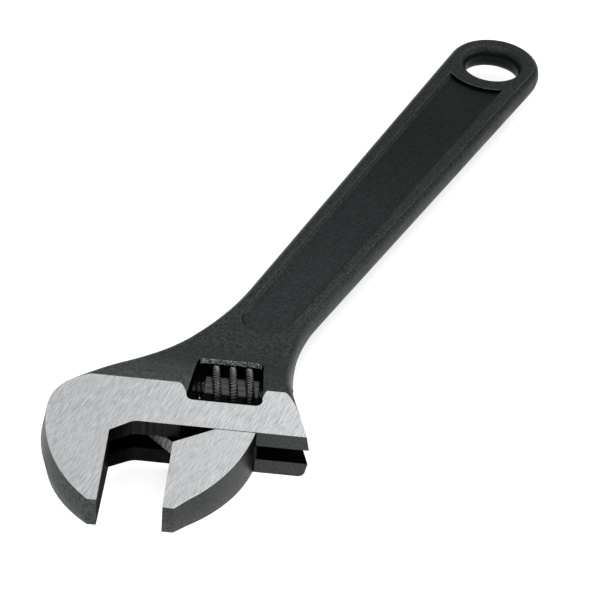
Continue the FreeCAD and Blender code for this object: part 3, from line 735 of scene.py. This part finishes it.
    def build(self) -> None:
        """Copies the forging, dresses it and breaks its edges."""
        ground = GroundHead()
        piece = self.copy_node()
        self.round_lip(piece)
        self.chamfer_window(piece)
        for place in self.seams:
            self.score(piece, self.on_neck, place, ACROSS)
        for place in self.bearing_x:
            self.score(piece, self.on_front, place, ACROSS)
        for level in (self.shear_height, -self.shear_height):
            self.score(piece, self.in_window, level, UP)
        self.dress(piece, FORGED_BLACK, [
            (GROUND_STEEL, ground.holds),
            (SHEARED_STEEL, self.sheared),
            # painted shade: the window's walls, the bore and the slot drawn near-black
            (PAINTED_SHADE_BLACK, self.in_window),
            (PAINTED_SHADE_BLACK, self.in_bore),
            # painted shadow: the slide's front behind the sliding jaw drawn near-black
            (PAINTED_SHADE_BLACK, self.bearing),
            # painted shade: the mouth's milled faces drawn darker
            (MOUTH_SHADE, lambda middle, normal: self.mouth(middle, normal) and middle.x < self.bearing_x[0]),
            (MILLED_DARK, self.mouth),
            # the panel's floor, with painted shade towards the ring
            (PANEL_BLACK, self.panel),
            # painted shade: the panel's wall at the ring drawn near-black
            (PAINTED_SHADE_BLACK, self.panel_end)])
        self.soften_recess(piece)
        self.break_ground_edges(piece)
        self.hand_over(piece)

    def round_lip(self, piece: bpy.types.Object) -> None:
        """Rounds the lower corner at the open end of the slide.

        Args:
            piece: The frame, before it is dressed.
        """
        ground = GroundHead()

        def lower_face(middle: Vector, normal: Vector) -> bool:
            """Whether a face is the lower ground face."""
            return normal.z < 0 and ground.holds(middle, normal)

        def end_face(middle: Vector, normal: Vector) -> bool:
            """Whether a face is the lower half of the head's end."""
            low = -ground.half_thickness - 1 < middle.z < 0
            return normal.x > 0.6 and middle.x > self.end_face_x and low and middle.y < self.end_face_back
        ways = []
        for test in (end_face, lower_face):
            Bench.pick_faces(piece, test)
            largest = max((face for face in piece.data.polygons if face.select), key=lambda face: face.area)
            ways.append(largest.normal.copy())
        low_front = [vertex.co for vertex in piece.data.vertices
                     if abs(vertex.co.y) < 0.02 * MM and vertex.co.z < (0.1 - ground.half_thickness) * MM]
        corner = max(low_front, key=lambda place: place.x).copy()
        reach = self.lip_corner * MM
        for test, way in ((lower_face, ways[0]), (end_face, ways[1])):
            Bench.pick_faces(piece, test)
            Bench.open(piece)
            bpy.ops.mesh.bisect(plane_co=corner - way * reach, plane_no=way)
            Bench.close()
        Bench.drop_picks(piece.data)
        count = 0
        for vertex in piece.data.vertices:
            away = vertex.co - corner
            on_edge = max(abs(away.dot(way)) for way in ways) < 0.03 * MM
            if on_edge and away.y < (self.end_face_back - 1) * MM:
                vertex.select = True
                count += 1
        Bench.open(piece, "VERT")
        bpy.ops.transform.translate(value=(ways[0] + ways[1]) * -(reach * (1 - math.sqrt(0.5))))
        Bench.close()
        log.info("slide: %d points of the lower corner drawn in", count)

    def soften_recess(self, piece: bpy.types.Object) -> None:
        """Rounds the edge where the sides of the handle's panel meet its flanges.

        Args:
            piece: The frame, already dressed.
        """
        def at_rim(middle: Vector, faces: list[bpy.types.MeshPolygon]) -> bool:
            """Whether an edge runs round the top of the panel.

            Args:
                middle: Middle of the edge, in millimetres.
                faces: Its two faces.

            Returns:
                True if it does.
            """
            walls = [face for face in faces if 0.3 < abs(face.normal.z) < 0.9]
            flats = [face for face in faces if abs(face.normal.z) > 0.93]
            at_top = self.rim_z[0] < abs(middle.z) < self.rim_z[1]
            return len(walls) == 1 and len(flats) == 1 and at_top and middle.y > self.panel_start
        count = Bench.pick_edges(piece, at_rim)
        log.info("panel: %d edges rounded", count)
        # the rounding takes the painted rim highlight
        self.bevel_picked(piece, self.recess_edge * MM, 3, RIM_HIGHLIGHT)


@dataclass
class SlidingJaw(WrenchPiece):
    """Sliding jaw: ground faces, dark milled sides, and a black web, rail and rack."""

    node: str = "sliding_jaw"
    body: str = "jaw"
    slot: str = "ground_steel"
    slide_gap: float = 0.15  # the web begins this far behind the slide's front
    web_front: float = -2.8  # its slanted end comes forward to here

    def behind_slide(self, middle: Vector, _: Vector) -> bool:
        """Whether a face belongs to the web or the rail behind the slide."""
        return middle.y > self.slide_gap

    def web_end(self, middle: Vector, normal: Vector) -> bool:
        """Whether a face is the slanted end of the web."""
        return middle.y > self.web_front and normal.x < -0.5 and normal.y < -0.5 and abs(middle.z) < 1

    def build(self) -> None:
        """Copies the jaw, dresses it and breaks its edges."""
        ground = GroundHead()
        piece = self.copy_node()
        self.dress(piece, JAW_SIDE, [
            (GROUND_STEEL, ground.holds),
            # the web's end: machining marks, with painted light and, at its top, a painted shadow
            (WEB_STRIPES, self.web_end),
            # painted shade: the web and rail behind the slide drawn near-black
            (PAINTED_SHADE_BLACK, self.behind_slide)])
        self.break_ground_edges(piece)
        self.hand_over(piece)


@dataclass
class AdjustingWorm(WrenchPiece):
    """Worm: a right-handed thread with a knurled crest, bored for its pin and its spring."""

    node: str = "adjusting_worm"
    body: str = "worm"
    slot: str = "black_steel"
    left: float = 22.3
    length: float = 14.15
    axis_y: float = 21.73
    radius: float = 7.0
    depth: float = 2.87
    pitch: float = 4.4
    crest: float = 1.75
    flank: float = math.tan(math.radians(4.0))  # how fast the thread widens to its foot
    phase: float = 3.88  # place of the first crest along the axis
    end_bevels: tuple[float, float] = (1.6, 1.6)
    nose: float = 0.62  # length of the plain end
    edge: float = 0.32  # bevel of the crest
    notches: int = 54
    steps_per_notch: int = 4
    notch_depth: float = 0.45
    notch_slant: float = 0.45  # lean across the crest, as a share of a notch
    bore: float = 1.80  # for the pin
    seat: float = 3.10  # for the spring
    seat_depth: float = 3.7
    slit: float = 0.006  # points closer than this are one
    fillet: float = 0.12  # at the foot of the thread
    margin: float = 0.5  # how far a tool reaches past its cut
    turns: int = 6  # coiled before the thread is cut to length
    facets: int = 128  # sides of a round tool

    def profile(self) -> list[tuple[float, float]]:
        """Outline of one turn of the thread, from root to root.

        Returns:
            Its corners, each as (place along the axis, radius).
        """
        half_crest = self.crest / 2
        root = self.radius - self.depth
        foot = half_crest + self.depth * self.flank
        return [(-self.pitch / 2, root), (-foot - self.fillet, root), (-foot, root + self.fillet),
                (-half_crest, self.radius - self.edge), (-half_crest + self.edge, self.radius),
                (half_crest - self.edge, self.radius), (half_crest, self.radius - self.edge),
                (foot, root + self.fillet), (foot + self.fillet, root), (self.pitch / 2, root)]

    def draw_profile(self) -> bpy.types.Object:
        """Draws the profile on the far side of the axis, one pitch before the worm's left end.

        Returns:
            An object with the profile as a chain of edges.
        """
        start = self.phase + self.pitch / 2 - 2 * self.pitch
        points = [Vector(((start + along) * MM, radius * MM, 0.0)) for along, radius in self.profile()]
        Bench.clear()
        bpy.ops.mesh.primitive_plane_add(size=MM, location=(0, 0, 0))
        piece = bpy.context.object
        Bench.open(piece, "VERT", everything=True)
        bpy.ops.mesh.merge(type="CENTER")
        bpy.ops.transform.translate(value=points[0])
        for before, after in zip(points, points[1:]):
            bpy.ops.mesh.extrude_region_move(TRANSFORM_OT_translate={"value": after - before})
        Bench.close()
        return piece

    def cylinder(self, radius: float, start: float, end: float,
                 bevels: tuple[float, ...] = ()) -> bpy.types.Object:
        """A round tool along the worm's own axis.

        Args:
            radius: Radius in millimetres.
            start: Place of its left end along the axis.
            end: Place of its right end.
            bevels: Bevels of its left and right ends, if it has them.

        Returns:
            The new object.
        """
        Bench.clear()
        bpy.ops.mesh.primitive_cylinder_add(vertices=self.facets, radius=radius * MM,
                                            depth=(end - start) * MM,
                                            location=((start + end) / 2 * MM, 0, 0),
                                            rotation=(0, math.pi / 2, 0))
        tool = bpy.context.object
        bpy.ops.object.transform_apply(location=True, rotation=True, scale=True)
        for way, bevel in zip((-1, 1), bevels):
            def on_end(_: Vector, faces: list[bpy.types.MeshPolygon], way: int = way) -> bool:
                """Whether an edge goes round this end of the tool."""
                return any(face.normal.x * way > 0.9 for face in faces)
            Bench.pick_edges(tool, on_end)
            self.bevel_picked(tool, bevel * MM, 1)
        return tool

    def combine(self, piece: bpy.types.Object, tool: bpy.types.Object, operation: str) -> None:
        """Applies a boolean with a tool and throws the tool away.

        Args:
            piece: The object to change.
            tool: The object that it is combined with.
            operation: INTERSECT or DIFFERENCE.
        """
        Bench.take(piece)
        cut = piece.modifiers.new("cut", "BOOLEAN")
        cut.operation = operation
        cut.object = tool
        cut.solver = "EXACT"
        bpy.ops.object.modifier_apply(modifier=cut.name)
        bpy.data.objects.remove(tool)

    def knurl(self, piece: bpy.types.Object) -> None:
        """Presses the notches into the crest.

        Args:
            piece: The coiled thread, on its own axis.
        """
        count = self.notches * self.steps_per_notch
        Bench.drop_picks(piece.data)
        for vertex in piece.data.vertices:
            x, y, z = vertex.co / MM
            turn = math.atan2(z, y) / math.tau
            from_crest = (x - self.phase - self.pitch * turn) % self.pitch / self.pitch - 0.5
            slant = from_crest * self.pitch / self.crest * self.notch_slant * self.steps_per_notch
            step = round(turn * count + slant) % self.steps_per_notch
            if math.hypot(y, z) > self.radius - self.edge * 1.1 and step >= self.steps_per_notch / 2:
                vertex.select = True
        share = 1 - self.notch_depth / self.radius
        Bench.open(piece, "VERT")
        bpy.ops.transform.resize(value=(1, share, share), center_override=(0, 0, 0))
        Bench.close()

    def coil(self) -> bpy.types.Object:
        """Turns the profile round the axis into a thread that is longer than the worm.

        Returns:
            The thread, with its ends still open.
        """
        piece = self.draw_profile()
        piece.name = self.node + "_finished"
        Bench.take(piece)
        coil = piece.modifiers.new("thread", "SCREW")
        coil.axis = "X"
        coil.angle = math.tau
        coil.screw_offset = self.pitch * MM
        coil.iterations = self.turns
        coil.steps = coil.render_steps = self.notches * self.steps_per_notch
        coil.use_merge_vertices = True
        coil.merge_threshold = self.merge_gap
        bpy.ops.object.modifier_apply(modifier=coil.name)
        return piece

    def close_ends(self, piece: bpy.types.Object) -> None:
        """Cuts the thread off a little past the worm's ends and closes it.

        Args:
            piece: The knurled thread.
        """
        Bench.open(piece, everything=True)
        bpy.ops.mesh.remove_doubles(threshold=self.merge_gap)
        for place, way in ((-self.margin, -1), (self.length + self.margin, 1)):
            bpy.ops.mesh.select_all(action="SELECT")
            bpy.ops.mesh.bisect(plane_co=(place * MM, 0, 0), plane_no=(way, 0, 0),
                                use_fill=True, clear_outer=True)
        bpy.ops.mesh.select_all(action="SELECT")
        bpy.ops.mesh.normals_make_consistent(inside=False)
        Bench.close()

    def machine(self, piece: bpy.types.Object) -> None:
        """Cuts the worm to length with bevelled ends, turns its nose and bores it.

        Args:
            piece: The closed thread.
        """
        self.combine(piece, self.cylinder(self.radius + 0.01, 0, self.length, self.end_bevels), "INTERSECT")
        root = self.radius - self.depth + 0.02
        sleeve = self.cylinder(self.radius + 1, -self.margin, self.nose)
        self.combine(sleeve, self.cylinder(root, -2 * self.margin, self.nose + self.margin), "DIFFERENCE")
        self.combine(piece, sleeve, "DIFFERENCE")
        self.combine(piece, self.cylinder(self.bore, -self.margin, self.length + self.margin), "DIFFERENCE")
        self.combine(piece, self.cylinder(self.seat, -self.margin, self.seat_depth), "DIFFERENCE")
        Bench.open(piece, everything=True)
        bpy.ops.mesh.remove_doubles(threshold=self.slit * MM)
        bpy.ops.mesh.dissolve_degenerate(threshold=self.slit * MM)
        bpy.ops.mesh.select_all(action="SELECT")
        bpy.ops.mesh.fill_holes(sides=0)
        bpy.ops.transform.translate(value=(self.left * MM, self.axis_y * MM, 0))
        Bench.close()

    def from_axis(self, middle: Vector) -> float:
        """Distance of a place from the worm's axis."""
        return math.hypot(middle.y - self.axis_y, middle.z)

    def on_crest(self, middle: Vector, _: Vector) -> bool:
        """Whether a face is on the raised part of the crest."""
        return self.from_axis(middle) > self.radius - self.edge * 0.8

    def in_notch(self, middle: Vector, _: Vector) -> bool:
        """Whether a face is in a notch of the crest."""
        return self.from_axis(middle) > self.radius - self.notch_depth - self.edge

    def inside(self, middle: Vector, _: Vector) -> bool:
        """Whether a face is in the worm's bore."""
        return self.from_axis(middle) < self.seat + 0.05

    def build(self) -> None:
        """Coils and knurls the thread, machines it on the worm's axis and dresses it."""
        piece = self.coil()
        self.knurl(piece)
        self.close_ends(piece)
        self.machine(piece)
        # the crest is lighter, partly wear and partly painted highlight; the notches are darker, painted
        # shade
        self.dress(piece, WORM_BLACK,
                   # the worm's bore is drawn near-black as painted shade
                   [(KNURLED, self.on_crest), (NOTCH_SHADE, self.in_notch), (PAINTED_SHADE_BLACK, self.inside)])
        self.hand_over(piece)


@dataclass
class SmallPiece(WrenchPiece):
    """A turned or coiled piece that keeps the node's shape, with one finish and broken edges."""

    finish: SteelFinish
    edge: float = 0.0
    sharp_angle: ClassVar[float] = 40.0

    def build(self) -> None:
        """Copies the node, breaks its edges and dresses it."""
        piece = self.copy_node()
        self.dress(piece, self.finish, [])
        if self.edge:
            Bench.pick_edges(piece, lambda _, faces: corner_angle(faces) > self.sharp_angle)
            self.bevel_picked(piece, self.edge * MM)
        self.hand_over(piece)


# ------------------------------------------------------------------ studio

@dataclass(frozen=True)
class Lamp:
    """A square soft lamp, with its place and side in metres and its power in watts."""

    name: str
    place: tuple[float, float, float]
    power: float
    size: float

    def hang(self, aim: Vector) -> None:
        """Hangs the lamp.

        Args:
            aim: Point that it faces.
        """
        light = bpy.data.lights.new(self.name, "AREA")
        light.energy = self.power
        light.size = self.size
        lamp = bpy.data.objects.new(self.name, light)
        bpy.context.scene.collection.objects.link(lamp)
        place = Vector(self.place)
        lamp.location = place
        lamp.rotation_euler = (aim - place).to_track_quat("-Z", "Y").to_euler()


@dataclass
class Studio:
    """Plain pale floor, four soft lamps in a white room, and the camera."""

    floor_drop: float = 0.1 * MM
    floor_size: float = 8.0
    floor_shade: float = 0.90
    world_strength: float = 0.58
    glow_to_eye: float = 0.60
    glow_in_gloss: float = 0.70
    aim: tuple[float, float, float] = (0.05, 0.06, 0.0)
    lamps: tuple[Lamp, ...] = (Lamp("back", (0.28, 0.72, 0.75), 0.9, 0.6),
                               Lamp("overhead", (0.12, 0.02, 0.85), 0.6, 0.4),
                               Lamp("right", (1.1, 0.2, 0.45), 1.45, 0.6),
                               Lamp("front", (0.06, -0.62, 0.52), 1.3, 0.75))
    camera_place: tuple[float, float, float] = (0.05025, -0.41456, 0.39060)
    camera_turn: tuple[float, float, float] = (50.648, -4.0317, 3.9632)
    lens: float = 132.0
    sensor: float = 36.0
    near_end: float = 0.01

    def build_floor(self) -> None:
        """Lays the floor: pale, white to the eye and in reflections, with the wrench's soft shadow."""
        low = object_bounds()[0][2]
        Bench.clear()
        bpy.ops.mesh.primitive_plane_add(size=self.floor_size, location=(0, 0, low - self.floor_drop))
        floor = bpy.context.object
        floor.name = "floor"
        sheet = NodeSheet("floor")
        sheet.shader.inputs["Base Color"].default_value = (self.floor_shade,) * 3 + (1.0,)
        sheet.shader.inputs["Roughness"].default_value = 1.0
        sheet.shader.inputs["Specular IOR Level"].default_value = 0.0
        path = sheet.add("LightPath")
        to_eye = sheet.add("Math", operation="MAXIMUM")
        sheet.join(path.outputs["Is Camera Ray"], to_eye.inputs[0])
        sheet.join(path.outputs["Is Transmission Ray"], to_eye.inputs[1])
        eye_share = sheet.add("Math", operation="MULTIPLY")
        eye_share.inputs[1].default_value = self.glow_to_eye
        sheet.join(to_eye.outputs["Value"], eye_share.inputs[0])
        total = sheet.add("Math", operation="MULTIPLY_ADD")
        total.inputs[1].default_value = self.glow_in_gloss
        sheet.join(path.outputs["Is Glossy Ray"], total.inputs[0])
        sheet.join(eye_share.outputs["Value"], total.inputs[2])
        sheet.shader.inputs["Emission Color"].default_value = (1.0, 1.0, 1.0, 1.0)
        sheet.join(total.outputs["Value"], sheet.shader.inputs["Emission Strength"])
        floor.data.materials.append(sheet.material)
        floor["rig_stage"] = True
        log.info("floor at %.1f mm", (low - self.floor_drop) / MM)

    def build_world(self) -> None:
        """Fills the room with plain white light."""
        world = bpy.data.worlds.new("studio")
        bpy.context.scene.world = world
        world.use_nodes = True
        backdrop = world.node_tree.nodes["Background"]
        backdrop.inputs["Color"].default_value = (1.0, 1.0, 1.0, 1.0)
        backdrop.inputs["Strength"].default_value = self.world_strength

    def build_camera(self) -> None:
        """Sets up the camera."""
        lens = bpy.data.cameras.new("camera")
        lens.lens = self.lens
        lens.sensor_width = self.sensor
        lens.clip_start = self.near_end
        camera = bpy.data.objects.new("camera", lens)
        bpy.context.scene.collection.objects.link(camera)
        camera.location = self.camera_place
        camera.rotation_euler = [math.radians(angle) for angle in self.camera_turn]
        bpy.context.scene.camera = camera

    def build(self) -> None:
        """Sets up the floor, the world, the lamps and the camera."""
        self.build_floor()
        self.build_world()
        for lamp in self.lamps:
            lamp.hang(Vector(self.aim))
        self.build_camera()
        bpy.context.scene.view_settings.view_transform = "Standard"
        log.info("studio ready with %d lamps", len(self.lamps))


def main() -> None:
    """Builds every piece in order, then the studio."""
    HandleFrame().build()
    SlidingJaw().build()
    AdjustingWorm().build()
    SmallPiece("worm_pin", "frame", "pin_steel", PIN_STEEL, edge=0.15).build()
    SmallPiece("worm_spring", "frame", "spring_steel", SPRING_STEEL).build()
    Studio().build()


if __name__ == "__main__":
    main()
